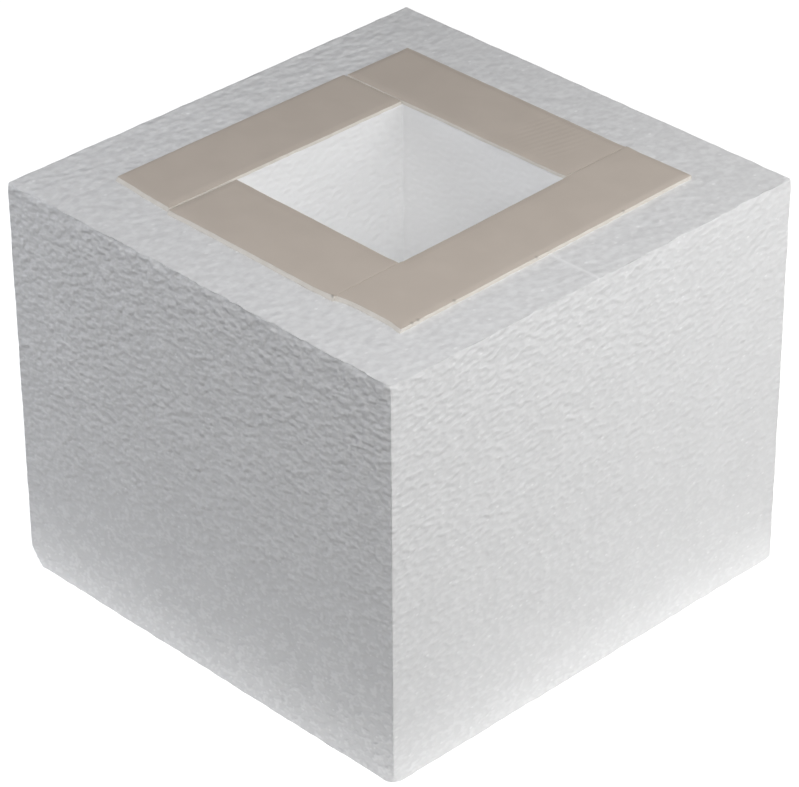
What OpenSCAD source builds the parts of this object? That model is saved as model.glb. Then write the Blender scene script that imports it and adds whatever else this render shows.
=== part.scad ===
// Block of expanded polystyrene with a square passage cut down through it by hot wire.
// The wire came in through the +X wall and left a thin kerf there. Four strips of double-sided
// foam tape, with the release liner still on, frame the passage's mouth on the top face. They
// were laid by hand, so each has its own lean and its own slightly crooked ends.
// Millimetres and degrees. The origin is the middle of the underside, and +Z is up.

/* [Block] */
// Size of the block along X
block_x = 240; // [205:1:400]
// Size of the block along Y
block_y = 245; // [195:1:400]
// Height of the block
block_h = 200; // [40:1:400]
// Rounding of the block's outer edges
edge_r = 1.2; // [0.4:0.1:4]

/* [Passage] */
// Size of the passage along X
passage_x = 102.6; // [40:0.1:130]
// Size of the passage along Y
passage_y = 104.5; // [40:0.1:140]
// Distance from the block's middle to the passage's middle, along X
passage_off_x = 1.2; // [-8:0.1:8]
// Distance from the block's middle to the passage's middle, along Y
passage_off_y = -0.75; // [-8:0.05:8]
// Rounding that the wire leaves in the passage's corners
passage_r = 1; // [0.4:0.1:5]

/* [Kerf] */
// Width of the slot that the wire melted on its way in
kerf_w = 0.8; // [0.4:0.1:3]
// Place of the kerf along Y on the top face, from the block's middle
kerf_off_y = -0.4; // [-40:0.1:40]
// Lean of the wire from upright on its way in, seen from the +X side
kerf_lean = 1.5; // [-5:0.1:5]

/* [Tape] */
// Width of the tape, as it comes off the roll
tape_w = 38; // [10:1:48]
// Thickness of the foam core
core_t = 1.8; // [0.5:0.1:4]
// Thickness of the release liner
liner_t = 0.2; // [0.1:0.05:0.5]
// Distance from the mouth's edge back to a strip, at the middle of its side
setback = 0.2; // [0:0.1:4]
// Lean of the right strip, anticlockwise from above
right_lean = 1.15; // [-2.5:0.05:2.5]
// Lean of the front strip, anticlockwise from above
front_lean = -0.6; // [-2.5:0.05:2.5]

/* [Strip ends] */
// Gap where the back and front strips are pushed up against the right one
tight_gap = 0.1; // [0.05:0.05:1]
// How far the right strip runs on past the back strip's outer edge
right_past_back = 1.2; // [0:0.1:8]
// How far the right strip stops short of the front strip's outer edge
right_short = 2.8; // [0:0.1:8]
// How far the back strip stops short of the left strip's outer edge
back_short = 1.6; // [0:0.1:8]
// How far the left strip stops short of the front strip's outer edge, at its inner corner
left_short = 1.4; // [0:0.1:8]
// How much shorter the left strip's front end is at its outer corner
left_short_slant = 2.2; // [0:0.1:6]
// Gap between the left strip and the back one, at the mouth
left_gap = 0.6; // [0.1:0.1:4]
// How much wider that gap is at the outer edge
left_gap_slant = 0.6; // [0:0.1:4]
// Gap between the front strip and the left one, at the outer edge
front_gap = 1.2; // [0.1:0.1:4]
// How much wider that gap is at the mouth
front_gap_slant = 0.5; // [0:0.1:4]

/* [Damage] */
// Far bottom corner of the -Y face, broken off: reach of the break along X, Y and Z
broken_corner = [5, 5, 6];
// Top corner between the -Y and +X faces, knocked blunt: reach of the flat along X, Y and Z
blunt_corner = [3, 3, 9];
// Bottom corner below that one, scuffed: reach of the flat along X, Y and Z
scuffed_corner = [3, 3, 3.5];

/* [Hidden] */
$fn = 64;

foam_white = [0.93, 0.93, 0.92];
core_ivory = [0.89, 0.86, 0.80];
liner_beige = [0.66, 0.61, 0.56];

// How far a cut runs on past the face that it opens
overrun = 1;

// Straight edges of the strips. An edge is a point on it and its direction.
function edge(point, angle) = [point, [cos(angle), sin(angle)]];

// The straight edge through two points
function through(a, b) = [a, b - a];

// An edge moved sideways, to the left of its direction
function moved(e, distance) = [e[0] + distance * [-e[1].y, e[1].x], e[1]];

// The point where two edges cross
function meet(a, b) = a[0] + a[1] * cross(b[0] - a[0], b[1]) / cross(a[1], b[1]);

// Inner edges run along the mouth of the passage, and outer edges lie one tape width away
right_in = edge([passage_off_x + passage_x / 2 + setback, passage_off_y], 90 + right_lean);
right_out = moved(right_in, -tape_w);
back_in = edge([passage_off_x, passage_off_y + passage_y / 2 + setback], 0);
back_out = moved(back_in, tape_w);
left_in = edge([passage_off_x - passage_x / 2 - setback, passage_off_y], 90);
left_out = moved(left_in, tape_w);
front_in = edge([passage_off_x, passage_off_y - passage_y / 2 - setback], front_lean);
front_out = moved(front_in, -tape_w);

// Ends of the strips. The right strip was laid first and cut square at both ends.
right_front_end = edge(meet(right_in, front_out) + [0, right_short], right_lean);
right_back_end = edge(meet(right_in, back_out) + [0, right_past_back], right_lean);
// The back and front strips are pushed up against the right one
at_right = moved(right_in, tight_gap);
back_left_end = edge(meet(left_out, back_out) + [back_short, 0], 90);
left_back_end = through(
    meet(left_in, back_in) - [0, left_gap],
    meet(left_out, back_in) - [0, left_gap + left_gap_slant]
);
left_front_end = through(
    meet(left_in, front_out) + [0, left_short],
    meet(left_out, front_out) + [0, left_short + left_short_slant]
);
front_left_end = through(
    meet(left_in, front_out) + [front_gap, 0],
    meet(left_in, front_in) + [front_gap + front_gap_slant, 0]
);

// Rectangle about the origin with round corners
module rounded_rect(size, r) {
    square([size.x - 2 * r, size.y], center = true);
    square([size.x, size.y - 2 * r], center = true);
    for (side_x = [-1, 1], side_y = [-1, 1])
        translate([side_x * (size.x / 2 - r), side_y * (size.y / 2 - r)])
            circle(r);
}

// Solid block standing on the origin, every edge rounded: what three rounded bars have in common
module rounded_block(size, r) {
    translate([0, 0, size.z / 2])
        intersection() {
            linear_extrude(size.z, center = true)
                rounded_rect([size.x, size.y], r);
            rotate([90, 0, 0])
                linear_extrude(size.y, center = true)
                    rounded_rect([size.x, size.z], r);
            rotate([90, 0, 90])
                linear_extrude(size.x, center = true)
                    rounded_rect([size.y, size.z], r);
        }
}

// What is lost at one corner of the block, beyond the plane through a point on each of its edges.
// side gives the corner: -1 or 1 along X, Y and Z. reach is the distance to the point on each edge.
module lost_corner(side, reach) {
    out = [side.x / reach.x, side.y / reach.y, side.z / reach.z];
    size = 3 * max(reach);
    edge_point = [side.x * (block_x / 2 - reach.x), side.y * block_y / 2, side.z > 0 ? block_h : 0];
    translate(edge_point)
        rotate([0, acos(out.z / norm(out)), atan2(out.y, out.x)])
            translate([-size, -size, 0])
                cube([2 * size, 2 * size, size]);
}

// The square hole from the top face to the underside
module passage() {
    translate([passage_off_x, passage_off_y, -overrun])
        linear_extrude(block_h + 2 * overrun)
            rounded_rect([passage_x, passage_y], passage_r);
}

// The slot from the passage out through the +X face, as the leaning wire cut it
module kerf() {
    depth = (block_h + 2 * overrun) / cos(kerf_lean);
    translate([passage_off_x, kerf_off_y, block_h])
        rotate([kerf_lean, 0, 0])
            translate([0, -kerf_w / 2, overrun - depth])
                cube([block_x, kerf_w, depth]);
}

module foam_block() {
    color(foam_white)
        difference() {
            rounded_block([block_x, block_y, block_h], edge_r);
            passage();
            kerf();
            lost_corner([-1, -1, -1], broken_corner);
            lost_corner([1, -1, 1], blunt_corner);
            lost_corner([1, -1, -1], scuffed_corner);
        }
}

// Outline of a strip on the top face: four edges, taken in order round it
module outline(edges) {
    last = len(edges) - 1;
    polygon([for (i = [0:last]) meet(edges[i], edges[i == last ? 0 : i + 1])]);
}

module right_outline() { outline([right_in, right_front_end, right_out, right_back_end]); }
module back_outline() { outline([back_in, at_right, back_out, back_left_end]); }
module left_outline() { outline([left_in, left_back_end, left_out, left_front_end]); }
module front_outline() { outline([front_in, front_left_end, front_out, at_right]); }

// Foam core of a strip, stuck to the top face
module core() {
    color(core_ivory)
        translate([0, 0, block_h])
            linear_extrude(core_t)
                children();
}

// Release liner of a strip, on top of its core
module liner() {
    color(liner_beige)
        translate([0, 0, block_h + core_t])
            linear_extrude(liner_t)
                children();
}

module tape_right() { core() right_outline(); }
module tape_back() { core() back_outline(); }
module tape_left() { core() left_outline(); }
module tape_front() { core() front_outline(); }
module liner_right() { liner() right_outline(); }
module liner_back() { liner() back_outline(); }
module liner_left() { liner() left_outline(); }
module liner_front() { liner() front_outline(); }

foam_block();
tape_right();
tape_back();
tape_left();
tape_front();
liner_right();
liner_back();
liner_left();
liner_front();
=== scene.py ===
import math

import bpy
import numpy as np
from mathutils import Matrix, Vector


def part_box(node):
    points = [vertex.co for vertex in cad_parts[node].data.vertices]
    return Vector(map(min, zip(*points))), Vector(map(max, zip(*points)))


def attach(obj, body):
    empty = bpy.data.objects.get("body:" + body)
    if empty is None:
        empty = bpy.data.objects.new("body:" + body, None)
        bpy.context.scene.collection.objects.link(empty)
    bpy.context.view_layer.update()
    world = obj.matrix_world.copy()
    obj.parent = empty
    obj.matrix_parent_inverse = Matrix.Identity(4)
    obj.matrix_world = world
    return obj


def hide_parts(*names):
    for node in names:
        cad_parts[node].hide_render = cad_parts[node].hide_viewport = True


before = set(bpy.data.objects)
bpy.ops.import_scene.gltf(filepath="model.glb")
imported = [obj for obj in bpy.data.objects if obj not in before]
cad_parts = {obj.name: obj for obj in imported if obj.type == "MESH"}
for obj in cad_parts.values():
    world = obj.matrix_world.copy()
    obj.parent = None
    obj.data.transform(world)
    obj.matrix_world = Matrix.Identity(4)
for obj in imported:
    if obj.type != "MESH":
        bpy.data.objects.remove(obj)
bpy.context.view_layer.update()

# Shapes are worked out in millimetres and made in metres
MM = 0.001
SEED = 20


# ---------------------------------------------------------------- camera

def make_camera():
    """A long lens looking down on the corner between the -Y and +X faces."""
    lens = bpy.data.cameras.new("camera")
    lens.lens = 171.68
    lens.sensor_width = 36
    lens.clip_end = 20
    camera = bpy.data.objects.new("camera", lens)
    bpy.context.scene.collection.objects.link(camera)
    bpy.context.scene.camera = camera
    stand = Vector((1.0453, -1.0202, 1.0008))
    aim = Vector((-0.0003, -0.0003, 0.0903))
    tilt = (aim - stand).to_track_quat("-Z", "Y").to_matrix().to_4x4()
    roll = Matrix.Rotation(math.radians(-0.327), 4, "Z")
    camera.matrix_world = Matrix.Translation(stand) @ tilt @ roll


make_camera()


# ---------------------------------------------------------------- sizes

def size_of(node):
    """A CAD node's lowest and highest corners, in millimetres."""
    low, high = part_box(node)
    return np.array(low) / MM, np.array(high) / MM


def points_of(node):
    """A CAD node's points, in millimetres."""
    points = np.empty(len(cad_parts[node].data.vertices) * 3)
    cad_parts[node].data.vertices.foreach_get("co", points)
    return points.reshape(-1, 3) / MM


block_low, block_high = size_of("foam_block")
block_middle = (block_low + block_high) / 2
block_half = (block_high - block_low) / 2
top = block_high[2]
liner_top = size_of("liner_right")[1][2]
core_top = size_of("tape_right")[1][2]

# The passage's walls are the only points of the block this near its middle
WALLS_WITHIN = 60
block_plan = points_of("foam_block")[:, :2]
walls = block_plan[np.abs(block_plan).max(axis=1) < WALLS_WITHIN]
passage_low, passage_high = walls.min(axis=0), walls.max(axis=0)
passage_middle = (passage_low + passage_high) / 2
passage_half = (passage_high - passage_low) / 2
passage_round = 0.4

# The slot that the wire melted on its way in, from the +X face to the passage
kerf_y = -0.4
kerf_slope = math.tan(math.radians(1.5))
kerf_half = 0.4
kerf_sides = [kerf_y - kerf_half, kerf_y + kerf_half]
# Its melted lips have closed up to these half widths, along the top and at the foot of the +X face.
# Down that face the kerf closes further over a length of about closes_over
closed_on_top = 0.004
closed_at_foot = 0.002
closes_over = 60
# Behind lips this thick, the kerf opens up to its full width over a depth of about opens_over
lip_thickness = 0.1
opens_over = 2.5

# Corners that were broken, knocked blunt or scuffed: side, reach along X, Y and Z, softness
lost_corners = [
    ((-1, -1, -1), (5.5, 5.5, 6.5), 2.4),
    ((1, -1, 1), (3.2, 3.2, 9.0), 2.0),
    ((1, -1, -1), (3.4, 3.4, 3.6), 1.6),
]


# ---------------------------------------------------------------- noise

def smooth_noise(points, pitch, seed):
    """Smooth noise from -1 to 1, whose bumps are pitch millimetres apart."""
    size = 8192
    table = np.random.default_rng(SEED + seed).uniform(-1, 1, size)
    place = points / pitch
    cell = np.floor(place).astype(np.int64)
    t = place - cell
    t = t * t * (3 - 2 * t)
    total = 0
    for corner in np.ndindex(2, 2, 2):
        # Large primes scatter neighbouring cells over the table
        at = (cell + corner) * (73856093, 19349663, 83492791)
        value = table[(at[:, 0] ^ at[:, 1] ^ at[:, 2]) & (size - 1)]
        weight = np.where(corner, t, 1 - t).prod(axis=1)
        total = total + value * weight
    return total


def bump_at(value, middle, reach):
    """1 at middle, falling away smoothly to 0 over about reach."""
    return np.exp(-(((value - middle) / reach) ** 2))


# ---------------------------------------------------------------- foam block

def smooth_max(a, b, blend):
    """The larger of two distances, rounded over where they are nearly the same."""
    near = np.clip(blend - np.abs(a - b), 0, None) / blend
    return np.maximum(a, b) + near * near * blend / 4


def kerf_line(z):
    """Middle of the kerf along Y, at a height."""
    return kerf_y + (top - z) * kerf_slope


def kerf_reach(points):
    """Half width of the kerf, which is next to nothing at its lips."""
    below_top = top - points[:, 2]
    behind_face = block_high[0] - points[:, 0]
    on_face = closed_at_foot + closed_on_top * np.exp(-below_top / closes_over)
    closed = np.where(below_top < behind_face, closed_on_top, on_face)
    depth = np.clip(np.minimum(below_top, behind_face) - lip_thickness, 0, None)
    open_up = 1 - np.exp(-depth / opens_over)
    return closed + (kerf_half - closed) * open_up


def box_distance(offset, half, radius):
    """Distance out to a box whose edges are rounded by radius, from points offset from its middle."""
    past = np.abs(offset) - half + np.reshape(radius, (-1, 1))
    distance = np.linalg.norm(np.clip(past, 0, None), axis=1) - radius
    return distance + np.minimum(past.max(axis=1), 0)


def foam_distance(p, wear, chips):
    """Distance from points out to the foam's surface, less than 0 inside the foam.
    wear is the rounding of the outer edges, and chips the roughness of the broken corners."""
    mouth_blend, lip_blend = 0.5, 0.1
    outer = box_distance(p - block_middle, block_half, wear)
    hole = box_distance(p[:, :2] - passage_middle, passage_half, passage_round)
    distance = smooth_max(outer, -hole, mouth_blend)
    beside_kerf = np.abs(p[:, 1] - kerf_line(p[:, 2])) - kerf_reach(p)
    slot = np.maximum(beside_kerf, passage_middle[0] - p[:, 0])
    distance = smooth_max(distance, -slot, lip_blend)
    for side, reach, soft in lost_corners:
        out = np.array(side) / reach
        corner = block_middle + np.array(side) * block_half
        cut = ((p - corner) @ out + 1) / np.linalg.norm(out) + chips
        distance = smooth_max(distance, cut, soft)
    return distance


def slope_of(distance, p):
    """Unit vectors out of the surface that a distance describes."""
    step = 0.05
    parts = [distance(p + step * axis) - distance(p - step * axis) for axis in np.eye(3)]
    out = np.stack(parts, axis=1)
    return out / np.maximum(np.linalg.norm(out, axis=1), 1e-9)[:, None]


def ruled(edges, step, near):
    """Places of mesh lines between edges, closer together near each edge."""
    lines = [edges[0]]
    for a, b in zip(edges, edges[1:]):
        if b - a < 4 * near[-1]:
            lines.append(b)
            continue
        count = math.ceil((b - a - 2 * near[-1]) / step)
        middle = np.linspace(a + near[-1], b - near[-1], count + 1)
        lines += [a + n for n in near[:-1]] + list(middle)
        lines += [b - n for n in near[-2::-1]] + [b]
    return np.array(lines)


def foam_lines():
    """Places of the block's mesh lines along X, Y and Z, closer together near its edges."""
    near, step, rise = (0.4, 1.0, 2.0), 1.85, 3.2
    xs = ruled([block_low[0], passage_low[0], passage_high[0], block_high[0]], step, near)
    ys = ruled([block_low[1], passage_low[1], *kerf_sides, passage_high[1], block_high[1]], step, near)
    # The lines round the block are closer together near the top, where its edge is worn
    below_top = np.array([4.6, 3.2, 2, 1, 0.4, 0])
    zs = np.concatenate([ruled([block_low[2], top], rise, near)[:-3], top - below_top])
    return xs, ys, np.unique(np.round(zs, 4))


def foam_cells(xs, ys):
    """Which cells between the mesh lines are foam, in plan: a C round the passage and its kerf."""
    mid_x, mid_y = (xs[1:] + xs[:-1]) / 2, (ys[1:] + ys[:-1]) / 2
    in_x = (mid_x > passage_low[0]) & (mid_x < passage_high[0])
    in_y = (mid_y > passage_low[1]) & (mid_y < passage_high[1])
    in_kerf = (mid_y > kerf_sides[0]) & (mid_y < kerf_sides[1])
    solid = ~(in_x[:, None] & in_y[None, :])
    return solid & ~((mid_x > passage_high[0])[:, None] & in_kerf[None, :])


def faces_round(solid, last):
    """Faces round the solid cells, from mesh line 0 to the last along Z. A corner is its three lines."""
    padded = np.pad(solid, 1)
    faces = []
    across = [(0, -1), (1, 0), (0, 1), (-1, 0)]
    for i, j in np.argwhere(solid):
        ring = [(i, j), (i + 1, j), (i + 1, j + 1), (i, j + 1)]
        faces.append([(a, b, last) for a, b in ring])
        faces.append([(a, b, 0) for a, b in reversed(ring)])
        for (a, b), (c, d), (u, v) in zip(ring, ring[1:] + ring[:1], across):
            if not padded[i + 1 + u, j + 1 + v]:
                faces += [[(a, b, k), (c, d, k), (c, d, k + 1), (a, b, k + 1)] for k in range(last)]
    return np.array(faces)


def follow_kerf(p, beside_kerf):
    """Puts the points along the kerf on its two sides."""
    for side, along in zip((-1, 1), beside_kerf):
        p[along, 1] = kerf_line(p[along, 2]) + side * kerf_reach(p[along])


def worn_edges(p):
    """The rounding of the block's outer edges, which are uneven."""
    far_extra, far_within = 0.6, 3
    wear = 0.4 + 0.45 * smooth_noise(p, 6.5, 1) + 0.3 * smooth_noise(p, 3.6, 2)
    wear += far_extra * (np.minimum(p[:, 0] - block_low[0], block_high[1] - p[:, 1]) < far_within)
    # The top edge of the -Y face is rubbed round towards its -X end
    rubbed = bump_at(p[:, 0], block_low[0] + 17, 9)
    rubbed = rubbed * bump_at(p[:, 1], block_low[1], 8) * bump_at(p[:, 2], top, 8)
    return np.clip(wear, 0.12, 1.6) + 2.4 * rubbed


# The skin is level where its normal has more than this of its length along Z
LEVEL = 0.7


def drawn_skin(p, out, inside, upper):
    """How strongly each cut drew the skin into waves."""
    x, y = p[:, 0], p[:, 1]
    faces_front = np.clip(-out[:, 1], 0, 1)
    along_front = 0.9 - 0.25 * bump_at(x, block_low[0], 25) + 0.35 * bump_at(x, block_high[0], 40)
    on_sides = 0.58 - 0.16 * bump_at(y, block_high[1], 70) + 0.32 * faces_front * along_front
    on_top = 0.29 + 0.21 * bump_at(x, block_low[0], 40) - 0.14 * bump_at(y, block_high[1], 30)
    in_passage = 0.28 + 0.06 * (out[:, 0] + out[:, 1])
    on_underside = 0.3
    where = [inside & ~upper, upper, out[:, 2] < -LEVEL]
    return np.select(where, [in_passage, on_top, on_underside], on_sides)


def swell_of(p, inside):
    """How far the skin has sunk in, in waves of the beads' size and in long slow ones. They die away
    at the far and the bottom edges, and run on over the near ones."""
    wave_depth, slow_depth = 0.42, 0.12
    from_edge = np.sort(block_half - np.abs(p - block_middle), axis=1)[:, 1]
    from_far = np.min([p[:, 0] - block_low[0], block_high[1] - p[:, 1], p[:, 2]], axis=0)
    calm = np.where(inside, 0.4, np.clip(np.maximum(from_edge, from_far) / 4, 0.1, 1))
    swell = wave_depth * (1 + smooth_noise(p, 5.2, 6)) / 2 + slow_depth * (1 + smooth_noise(p, 45, 7)) / 2
    return swell * calm * np.where(p[:, 2] < 0.5, 0.2, 1.0)


def nibble_edges(p):
    """Nibbles the top edges of the two near faces in small scallops."""
    reach = 2.5
    for across, along, edge, inward in ((1, 0, block_low[1], 0.55), (0, 1, block_high[0], -0.4)):
        line = p * np.eye(3)[along]
        nibble = np.clip(0.6 + smooth_noise(line, 6.5, 8) + 0.8 * smooth_noise(line, 2.8, 9), 0, 2)
        near_edge = bump_at(p[:, across], edge, reach) * bump_at(p[:, 2], top, reach)
        p[:, across] += inward * nibble * near_edge


def make_foam():
    """The block as one closed mesh, from the underside to the top."""
    xs, ys, zs = foam_lines()
    faces = faces_round(foam_cells(xs, ys), len(zs) - 1)
    grid = (len(xs), len(ys), len(zs))
    used, numbers = np.unique(np.ravel_multi_index(faces.reshape(-1, 3).T, grid), return_inverse=True)
    i, j, k = np.unravel_index(used, grid)
    p = np.stack([xs[i], ys[j], zs[k]], axis=1)

    # Lines near the kerf lean with it, and the two along it follow its sides
    lean_reach = 18
    p[:, 1] += bump_at(p[:, 1], kerf_y, lean_reach) * (kerf_line(p[:, 2]) - kerf_y)
    beside_kerf = [ys[j] == line for line in kerf_sides]
    follow_kerf(p, beside_kerf)

    wear = worn_edges(p)
    chips = 0.5 * smooth_noise(p, 4, 3) + 0.35 * smooth_noise(p, 2, 4)

    def distance(points):
        return foam_distance(points, wear, chips)

    for _ in range(4):
        p -= distance(p)[:, None] * slope_of(distance, p)
    follow_kerf(p, beside_kerf)

    out = slope_of(distance, p)
    inside = (np.abs(p[:, :2] - passage_middle) < passage_half + 0.5).all(axis=1)
    upper = out[:, 2] > LEVEL
    drawn = drawn_skin(p, out, inside, upper)
    swell = swell_of(p, inside)

    # Where the wire went in, the melted lips stand up as a fine bead along the top
    bead_height, bead_width, bead_depth, bead_calm = 0.16, 0.9, 1.2, 0.85
    off_kerf = np.abs(p[:, 1] - kerf_line(p[:, 2]))
    beyond_passage = p[:, 0] > passage_high[0] + 1
    bead = bump_at(off_kerf, 0, bead_width) * beyond_passage * (p[:, 2] > top - bead_depth)
    # The lips of the kerf and its walls behind them move in with the faces round them
    lip_reach = 3
    lips = beyond_passage & (off_kerf < 1)
    out[lips] = 0
    out[lips, 0] = np.exp(-(block_high[0] - p[lips, 0]) / lip_reach)
    out[lips, 2] = np.exp(-(top - p[lips, 2]) / lip_reach)
    p -= (swell * (1 - bead))[:, None] * out
    p[:, 2] = np.maximum(p[:, 2] + bead_height * bead, block_low[2])
    drawn *= 1 - bead_calm * bead
    nibble_edges(p)
    # Painted shade in the far corner: the -X wall is made darker towards the corner it shares with the +Y
    # wall
    painted_corner_shade = bump_at(p[:, 0], passage_low[0], 1.5) * bump_at(p[:, 1], passage_high[1], 16)
    inside = inside * (1 - 0.4 * painted_corner_shade)
    # The inside mark also carries the passage walls' painted brightening and the painted corner shade into
    # the finish, and the lips' mark carries their painted highlight
    return p, numbers.reshape(-1, 4), {"melted": bead, "inside": inside, "upper": upper, "drawn": drawn}


# ---------------------------------------------------------------- strips

def corners_of(node):
    """The four corners of a strip's outline in plan, anticlockwise from the one nearest -X -Y."""
    plan = np.unique(np.round(points_of(node)[:, :2], 3), axis=0)
    middle = plan.mean(axis=0)
    turn = np.arctan2(plan[:, 1] - middle[1], plan[:, 0] - middle[0])
    return plan[np.argsort(turn)]


def ruled_across(length, step, soft):
    """Distances of mesh lines along a strip, closer together beside each edge."""
    edge, even_from = np.array([0, soft / 3, soft, 0.6, 1.1, 1.7]), 2.4
    count = math.ceil((length - 2 * even_from) / step)
    return np.concatenate([edge, np.linspace(even_from, length - even_from, count), length - edge[::-1]])


def rolled_down(plan, from_rim):
    """How far a strip's edges were pressed down. They are flat beside the right-hand strip, where
    the others butt against it."""
    deepest, reach = 0.4, 1.8
    joint_x, joint_from, joint_reach = 53, 50, 4
    beyond_passage = np.clip((np.abs(plan[:, 1]) - joint_from) / 1.5, 0, 1)
    in_joint = beyond_passage * bump_at(plan[:, 0], joint_x, joint_reach)
    return deepest * bump_at(from_rim, 0, reach) * (1 - in_joint)


def height_in_core(points):
    """0 at the block's top and 1 at the top of the foam core."""
    return (points[:, 2] - top) / (core_top - top)


def make_slab(corners, low, high, step, soft, insets, shape):
    """A flat closed strip on a grid, its edges rounded by soft. insets draw in its -X, +X, -Y and +Y
    sides from its corners. shape moves its points in plan and in height."""
    left, right, near, far = insets
    a, b, c, d = corners
    length = max(np.linalg.norm(b - a), np.linalg.norm(c - d))
    width = max(np.linalg.norm(d - a), np.linalg.norm(c - b))
    u = ruled_across(length - left - right, step, soft) + left
    v = ruled_across(width - near - far, step, soft) + near
    s, t = np.meshgrid(u / length, v / width, indexing="ij")
    s, t = s[..., None], t[..., None]
    plan = ((1 - t) * ((1 - s) * a + s * b) + t * ((1 - s) * d + s * c)).reshape(-1, 2)
    nu, nv = len(u), len(v)
    index = np.arange(nu * nv).reshape(nu, nv)
    quads = np.stack([index[:-1, :-1], index[1:, :-1], index[1:, 1:], index[:-1, 1:]], axis=-1).reshape(-1, 4)
    rim = np.concatenate([index[:-1, 0], index[-1, :-1], index[:0:-1, -1], index[0, :0:-1]])

    # How far each point is in from the nearest edge gives how much the rounding takes off there
    near_u = np.minimum(u - left, length - right - u)
    near_v = np.minimum(v - near, width - far - v)
    from_rim = np.minimum(near_u[:, None], near_v[None, :]).reshape(-1)
    drop = soft * (1 - np.sqrt(1 - (1 - np.clip(from_rim / soft, 0, 1)) ** 2))
    from_corners = np.minimum(np.minimum(u, length - u)[:, None], np.minimum(v, width - v)[None, :])
    roll = rolled_down(plan, from_corners.reshape(-1))
    upper = np.column_stack([plan, high - drop])
    lower = np.column_stack([plan, low + drop])

    count = len(plan)
    points, rolls, faces = [lower, upper], [roll, roll], [quads[:, ::-1], quads + count]
    upright, row_height = high - low - 2 * soft, 0.4
    rows = max(1, math.ceil(upright / row_height))
    below, total = rim, 2 * count
    for row in range(1, rows):
        level = low + soft + upright * row / rows
        points.append(np.column_stack([plan[rim], np.full(len(rim), level)]))
        rolls.append(roll[rim])
        this = total + np.arange(len(rim))
        faces.append(np.stack([below, np.roll(below, -1), np.roll(this, -1), this], axis=1))
        below, total = this, total + len(rim)
    above = rim + count
    faces.append(np.stack([below, np.roll(below, -1), np.roll(above, -1), above], axis=1))
    points = np.concatenate(points)
    # The foot of the strip stays on the foam
    points[:, 2] -= np.concatenate(rolls) * np.clip(height_in_core(points), 0, 1)
    return shape(points), np.concatenate(faces), {}


# The cuts along the near side of the strips lie below this along Y
NEAR_CUTS = -85


def laid_by_hand(side):
    """How a strip lies: its knife-cut edges wander, and it follows the foam up and down.
    The same wander moves all four strips, so that their joints stay as wide as they are."""
    def shape(p):
        p = p.copy()
        x, y = p[:, 0].copy(), p[:, 1].copy()
        plan = p * (1, 1, 0)
        slow_wander, quick_wander, sink, spread = 0.22, 0.10, 0.08, 0.9
        for axis in (0, 1):
            p[:, axis] += slow_wander * smooth_noise(plan, 24, 101 + axis)
            p[:, axis] += quick_wander * smooth_noise(plan, 5, 103 + axis)
        p[:, 2] -= sink * (1 + smooth_noise(plan, 30, 105)) / 2
        # The cuts that face -Y spread outwards to the foam
        p[:, 1] -= spread * (y < NEAR_CUTS) * np.clip(1 - height_in_core(p), 0, 1) ** 2
        if side == "right":
            # The near end was snipped unevenly
            near_end = np.clip((-80 - y) / 8, 0, 1)
            snip = -1.2 * bump_at(x, 54, 4) + 0.35 * bump_at(x, 68, 7) - 1.5 * bump_at(x, 92, 5)
            p[:, 1] += near_end * snip
        if side == "back":
            # Its joint with the right-hand strip gapes at the passage
            gape, joint_end = 0.5, 45
            p[:, 0] -= gape * bump_at(y, 50, 8) * (x > joint_end)
            # It buckled a little as it was pressed down, in fine ripples across the strip
            ripple, pitch, slant = 0.03, 3.4, 0.21
            within = np.clip((x - 1) / 6, 0, 1) * np.clip((40 - x) / 6, 0, 1)
            p[:, 2] += ripple * within * (np.sin((x - slant * y) * 2 * math.pi / pitch) - 1)
        if side == "front":
            # Its near edge was cut narrower towards the right-hand strip
            p[:, 1] += 0.5 * bump_at(x, 54, 10) * (y < NEAR_CUTS)
        if side == "left":
            # The snip at its near end bulges
            p[:, 1] -= 0.4 * bump_at(x, -68, 8) * (y < -80)
        return p
    return shape


# ---------------------------------------------------------------- finishes

class Socket:
    """An output of a finish's nodes. Arithmetic on it adds Math nodes."""

    def __init__(self, finish, output):
        self.finish, self.output = finish, output

    def math(self, operation, *others):
        return self.finish.math(operation, self, *others)

    def __add__(self, other):
        return self.math("ADD", other)

    def __sub__(self, other):
        return self.math("SUBTRACT", other)

    def __rsub__(self, other):
        return self.finish.math("SUBTRACT", other, self)

    def __mul__(self, other):
        return self.math("MULTIPLY", other)

    def __abs__(self):
        return self.math("ABSOLUTE")

    __radd__ = __add__
    __rmul__ = __mul__


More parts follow.
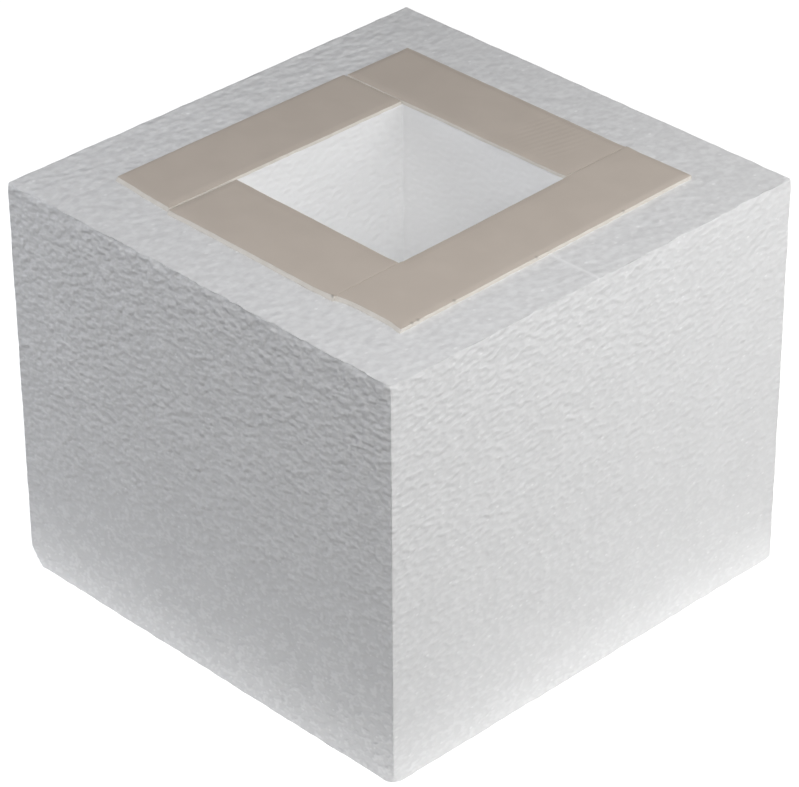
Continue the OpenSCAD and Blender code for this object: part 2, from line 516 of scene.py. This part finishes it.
class Finish:
    """A material, built from its own nodes."""

    def __init__(self, name):
        self.material = bpy.data.materials.new(name)
        self.material.use_nodes = True
        self.tree = self.material.node_tree
        self.tree.nodes.clear()
        self.place = self.node("ShaderNodeTexCoord", output="Object")

    def node(self, kind, settings=None, inputs=None, output=0):
        """Any node: its settings first, then the values or links of its sockets."""
        made = self.tree.nodes.new(kind)
        for setting, value in (settings or {}).items():
            setattr(made, setting, value)
        for socket, value in (inputs or {}).items():
            if isinstance(value, Socket):
                self.tree.links.new(value.output, made.inputs[socket])
            else:
                made.inputs[socket].default_value = value
        return Socket(self, made.outputs[output]) if made.outputs else None

    def math(self, operation, *values):
        return self.node("ShaderNodeMath", {"operation": operation}, dict(enumerate(values)))

    def larger(self, a, b):
        return self.math("MAXIMUM", a, b)

    def vector(self, operation, a, b, output=0):
        return self.node("ShaderNodeVectorMath", {"operation": operation}, {0: a, 1: b}, output)

    def noise(self, pitch, detail=0):
        """Noise from 0 to 1, whose bumps are pitch millimetres apart."""
        scale = 1 / (pitch * MM)
        return self.node("ShaderNodeTexNoise", {}, {"Vector": self.place, "Scale": scale, "Detail": detail})

    def ramp(self, value, low, high, to_low=0, to_high=1):
        """value taken from the range low..high to to_low..to_high, smoothly, and held there."""
        return self.node(
            "ShaderNodeMapRange",
            {"interpolation_type": "SMOOTHSTEP"},
            {"Value": value, "From Min": low, "From Max": high, "To Min": to_low, "To Max": to_high},
        )

    def mix(self, factor, a, b):
        """Colour a where factor is 0, and b where it is 1."""
        a, b = (colour if isinstance(colour, Socket) else (*colour, 1) for colour in (a, b))
        return self.node("ShaderNodeMix", {"data_type": "RGBA"}, {0: factor, 6: a, 7: b}, output=2)

    def attribute(self, name):
        return self.node("ShaderNodeAttribute", {"attribute_name": name}, output="Fac")

    def cells(self, pitch):
        """Distance from the nearest of many scattered points, which are about pitch millimetres apart."""
        inputs = {"Vector": self.place, "Scale": 1 / (pitch * MM)}
        return self.node("ShaderNodeTexVoronoi", {}, inputs, output="Distance")

    def spots(self, places, reach):
        """1 at each place, in millimetres, falling to 0 at reach from it."""
        total = 0
        for place in places:
            away = self.vector("DISTANCE", self.place, Vector(place) * MM, output="Value")
            total = self.ramp(away, 0, reach * MM, 1, 0) + total
        return total

    def finish(self, colour, roughness, height, **fixed):
        """The finished surface. height is in millimetres."""
        bump = self.node("ShaderNodeBump", {}, {"Height": height, "Distance": MM, "Strength": 1})
        surface = self.node(
            "ShaderNodeBsdfPrincipled",
            {},
            {"Base Color": colour, "Roughness": roughness, "Normal": bump, **fixed},
        )
        self.node("ShaderNodeOutputMaterial", {}, {"Surface": surface})
        return self.material


# Where a finish's soft noise turns from one tone to the other
SOFT = (0.3, 0.7)
# Painted shade in the knife's nicks along the strips' near edges
PAINTED_NICK_SHADE = (0.25, 0.22, 0.19)


def foam_finish():
    """Expanded polystyrene cut by hot wire: white, its skin drawn into small waves by the heat."""
    f = Finish("cut_expanded_polystyrene")
    drawn, upper = f.attribute("drawn"), f.attribute("upper")
    # The waves run longer level than up and down, and lean to one side
    stretch, lean = (0.8, 0.63, 1.1), (-0.25, 0.05, 0)
    f.place = f.vector("MULTIPLY", f.place, stretch)
    tilt = f.vector("DOT_PRODUCT", f.place, lean, output="Value")
    f.place = f.vector("ADD", f.place, f.node("ShaderNodeCombineXYZ", {}, {"Z": tilt}))
    broad, waves, ripples, grain = f.noise(3.8), f.noise(2.9), f.noise(1.6), f.noise(0.9)
    fine = waves * 1.65 + (ripples * 0.42 + grain * 0.07) * (1 - 0.6 * upper)
    height = (fine + broad * upper * 1.5) * drawn

    skin_low, skin_high, grey = (0.818, 0.818, 0.818), (0.842, 0.842, 0.842), (0.72, 0.714, 0.716)
    # The first white is that of the painted highlights on the crests, the painted glints and the passage
    # walls' painted brightening. The second is the melted lips' painted highlight
    painted_light_white, melted_white = (0.97, 0.97, 0.97), (0.96, 0.96, 0.96)
    colour = f.mix(f.ramp(f.noise(14, 2), *SOFT), skin_low, skin_high)
    # Painted highlight: the crests of the waves are made lighter than the hollows between them, where light
    # catches them
    crest_highlight = f.ramp(ripples + waves, 0.95, 1.3)
    colour = f.mix(crest_highlight * drawn * 0.65, colour, painted_light_white)
    # Painted glints: here and there a small brighter fleck where light catches the skin
    painted_glint = f.ramp(f.cells(4.5), 0.07, 0.16, 1, 0)
    colour = f.mix(painted_glint, colour, painted_light_white)
    # The top is mottled. The passage walls are painted brighter than the outer faces, standing in for light
    # that reaches into the passage, and the melted lips carry a painted highlight
    mottle = f.ramp(f.noise(2.3, 1), *SOFT)
    colour = f.mix(upper * mottle * 0.6, colour, grey)
    colour = f.mix(f.attribute("inside"), colour, painted_light_white)
    colour = f.mix(f.attribute("melted") * 0.8, colour, melted_white)
    roughness = f.ramp(ripples, 0.35, 0.65, 0.62, 0.48)
    return f.finish(colour, roughness, height, **{"Specular IOR Level": 0.35})


def core_finish(nicks):
    """Closed-cell foam of the tape, cut through: ivory, with fine cells, and with painted shade at its nicks.
    """
    f = Finish("ivory_tape_foam")
    cells = f.cells(0.5)
    tint = f.ramp(f.noise(5, 2), *SOFT)
    colour = f.mix(tint, (0.78, 0.736, 0.672), (0.825, 0.786, 0.73))
    # Painted shade where the knife nicked the core
    colour = f.mix(f.spots(nicks, 1.4) * 0.6, colour, PAINTED_NICK_SHADE)
    return f.finish(colour, f.ramp(cells, 0, 0.8, 0.7, 0.85), cells * 0.04, **{"Specular IOR Level": 0.25})


def liner_finish(nicks):
    """Release liner: smooth coated paper, beige-grey with a soft satin sheen."""
    f = Finish("satin_release_liner")
    cloud, grain = f.noise(18, 2), f.noise(0.8, 2)
    colour = f.mix(f.ramp(cloud, *SOFT), (0.604, 0.532, 0.464), (0.626, 0.552, 0.482))
    # Painted shade at the nicks, on the paper too
    colour = f.mix(f.spots(nicks, 1.5) * 0.5, colour, PAINTED_NICK_SHADE)
    roughness = f.ramp(grain, *SOFT, 0.38, 0.46)
    return f.finish(colour, roughness, grain * 0.006 + cloud * 0.05, **{"Specular IOR Level": 0.5})


# ---------------------------------------------------------------- pieces

# Faces that meet at more than this angle are shaded with a sharp edge
SHARP_FROM = math.radians(60)


def make_piece(name, shape, finish, slot, *nodes):
    """A piece of the block, which stands for CAD nodes."""
    points, faces, marks = shape
    mesh = bpy.data.meshes.new(name)
    mesh.from_pydata((points * MM).tolist(), [], faces.tolist())
    mesh.polygons.foreach_set("use_smooth", np.ones(len(faces), bool))
    for mark, values in marks.items():
        attribute = mesh.attributes.new(mark, "FLOAT", "POINT")
        attribute.data.foreach_set("value", values.astype(np.float32))
    mesh.materials.append(finish)
    mesh.set_sharp_from_angle(angle=SHARP_FROM)
    mesh.validate()
    piece = bpy.data.objects.new(name, mesh)
    bpy.context.scene.collection.objects.link(piece)
    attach(piece, "root")
    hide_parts(*nodes)


make_piece("cut_foam_block", make_foam(), foam_finish(), "foam", "foam_block")

# Places along the strips' near edges where the knife nicked the foam core. The nicks have no shape of their
# own: their shade is painted dark into the core's and the paper's colour
nick_plan = [(92.2, -83), (92.1, -79.5), (91.6, -58), (90.8, -8), (89.7, 47), (53.6, -91.4)]
nicks = [(x, y, core_top) for x, y in nick_plan]
ivory, beige = core_finish(nicks), liner_finish(nicks)
# How far the paper of each strip stands back at its -X, +X, -Y and +Y sides: where strips butt
# together hardly at all, and less than 0 where it hangs over
stand_back = {
    "right": (0.03, 0.2, 0.2, 0.2),
    "back": (0.2, 0.03, 0.1, -0.4),
    "left": (0.9, 0.05, 0.2, 0.2),
    "front": (0.05, 0.03, 0.2, -0.8),
}
# The foam core reaches out past the paper, but stays within its outline by the least inset. It also
# reaches down into the block, because the block's skin has sunk in places
core_past_paper, least_inset, core_below = 0.18, 0.02, 0.7
core_step, core_soft = 1.2, 0.35
paper_step, paper_soft = 0.8, 0.06
for side, insets in stand_back.items():
    outline = corners_of("liner_" + side)
    under = [max(least_inset, inset - core_past_paper) for inset in insets]
    lie = laid_by_hand(side)
    core = make_slab(outline, top - core_below, core_top, core_step, core_soft, under, lie)
    make_piece("foam_core_" + side, core, ivory, "tape_core", "tape_" + side)
    paper = make_slab(outline, core_top, liner_top, paper_step, paper_soft, insets, lie)
    make_piece("paper_liner_" + side, paper, beige, "liner", "liner_" + side)


# ---------------------------------------------------------------- stage and light

def make_floor():
    """A wide pale floor that runs off into the white background, and glows round the block's foot
    and up the passage as a lit table does."""
    glow_from, glow_to = 0.026, 0.034
    black, foot_glow, passage_glow = (0, 0, 0), (0.477, 0.477, 0.477), (0.6, 0.6, 0.6)
    f = Finish("pale_floor")
    x, y = (f.node("ShaderNodeSeparateXYZ", {}, {"Vector": f.place}, output=axis) for axis in "XY")
    beside = f.larger(abs(x) - block_half[0] * MM, abs(y) - block_half[1] * MM)
    in_passage = f.larger(abs(x), abs(y)).math("LESS_THAN", passage_half[0] * MM)
    light = f.mix(f.ramp(beside, glow_from, glow_to, 1, 0), black, foot_glow)
    light = f.mix(in_passage, light, passage_glow)
    seen = f.node("ShaderNodeLightPath", output="Is Camera Ray")
    surface = f.node(
        "ShaderNodeBsdfPrincipled",
        {},
        {
            "Base Color": f.mix(f.noise(30, 2), (0.80, 0.80, 0.80), (0.82, 0.82, 0.82)),
            "Roughness": 0.9,
            "Specular IOR Level": 0,
            "Emission Color": f.mix(seen, light, (0.85, 0.85, 0.85)),
            "Emission Strength": 1,
        },
    )
    f.node("ShaderNodeOutputMaterial", {}, {"Surface": surface})
    mesh = bpy.data.meshes.new("floor")
    # It lies a hair below the block, so that the two don't share a plane
    half, low = 6, -0.0004
    corners = [(-half, -half, low), (half, -half, low), (half, half, low), (-half, half, low)]
    mesh.from_pydata(corners, [], [(0, 1, 2, 3)])
    mesh.materials.append(f.material)
    floor = bpy.data.objects.new("floor", mesh)
    bpy.context.scene.collection.objects.link(floor)


def softbox(name, turn, rise, watts, colour=(1, 1, 1), away=0.65, size=0.45):
    """A square soft lamp, turn degrees round from +X and rise degrees up, aimed at the block."""
    lamp = bpy.data.lights.new(name, "AREA")
    lamp.shape, lamp.size, lamp.energy, lamp.color = "SQUARE", size, watts, colour
    holder = bpy.data.objects.new(name, lamp)
    bpy.context.scene.collection.objects.link(holder)
    turn, rise = math.radians(turn), math.radians(rise)
    out = Vector((math.cos(turn) * math.cos(rise), math.sin(turn) * math.cos(rise), math.sin(rise)))
    holder.location = Vector((0, 0, 0.1)) + away * out
    holder.rotation_euler = (-out).to_track_quat("-Z", "Y").to_euler()
    holder.visible_camera = False


def make_sky():
    """A white background, which only the camera sees and which lights nothing."""
    sky = bpy.data.worlds.new("white_studio")
    bpy.context.scene.world = sky
    sky.use_nodes = True
    background = sky.node_tree.nodes["Background"]
    background.inputs["Color"].default_value = (1, 1, 1, 1)
    path = sky.node_tree.nodes.new("ShaderNodeLightPath")
    sky.node_tree.links.new(path.outputs["Is Camera Ray"], background.inputs["Strength"])


cool = (0.96, 0.98, 1.03)
make_floor()
softbox("key", -30, 38, 5.38, away=1.5, size=0.6)
softbox("above", -30, 60, 0.985)
softbox("right", 30, 35, 0.83)
softbox("low_right", 30, 10, 0.71)
softbox("back_right", 90, 35, 0.5)
softbox("left", -150, 35, 0.62, cool)
softbox("low_left", -150, 10, 0.795, cool)
softbox("over_left", -90, 60, 0.435, cool)
make_sky()
bpy.context.scene.view_settings.view_transform = "Standard"
